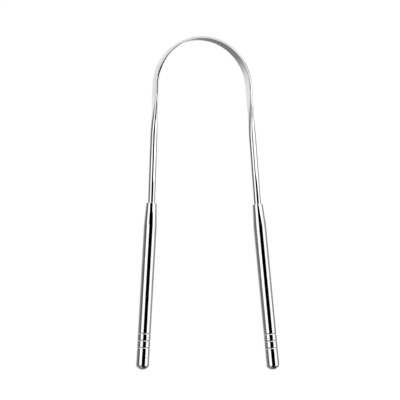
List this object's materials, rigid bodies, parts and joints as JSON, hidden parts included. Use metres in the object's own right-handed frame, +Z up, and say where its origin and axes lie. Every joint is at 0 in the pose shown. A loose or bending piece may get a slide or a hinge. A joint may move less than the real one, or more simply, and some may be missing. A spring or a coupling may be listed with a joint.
{
  "type": "tongue scraper",
  "caption": "Tongue scraper: a sprung steel wire bow, flattened to a thin scraping band round its arch, with slender grooved tubular handles on its legs.",
  "frame": {"origin": "on the surface it lies on, under the middle of its box", "axes": "+X across to the right handle, +Y along it towards the arch, +Z up out of the plane it lies on"},
  "size_m": [0.0674, 0.1504, 0.0068],
  "materials": {
    "bow_steel": "polished",
    "handle_steel": "polished",
    "plug_steel": "polished",
    "bush_steel": "satin"
  },
  "bodies": {
    "left_arm": {"scraper_bow": "bow_steel", "left_handle_tube": "handle_steel", "left_tang_bush": "bush_steel", "left_end_plug": "plug_steel"},
    "right_arm": {"right_handle_tube": "handle_steel", "right_tang_bush": "bush_steel", "right_end_plug": "plug_steel"}
  },
  "joints": [
    {"name": "bow_flex", "type": "hinge", "parent": "left_arm", "child": "right_arm", "pos_m": [0, 0.06668, 0.0034], "axis": [0, 0, -1], "range_deg": [-10, 18], "stiffness_Nm_per_rad": 2.3, "deforming": ["scraper_bow"]}
  ]
}
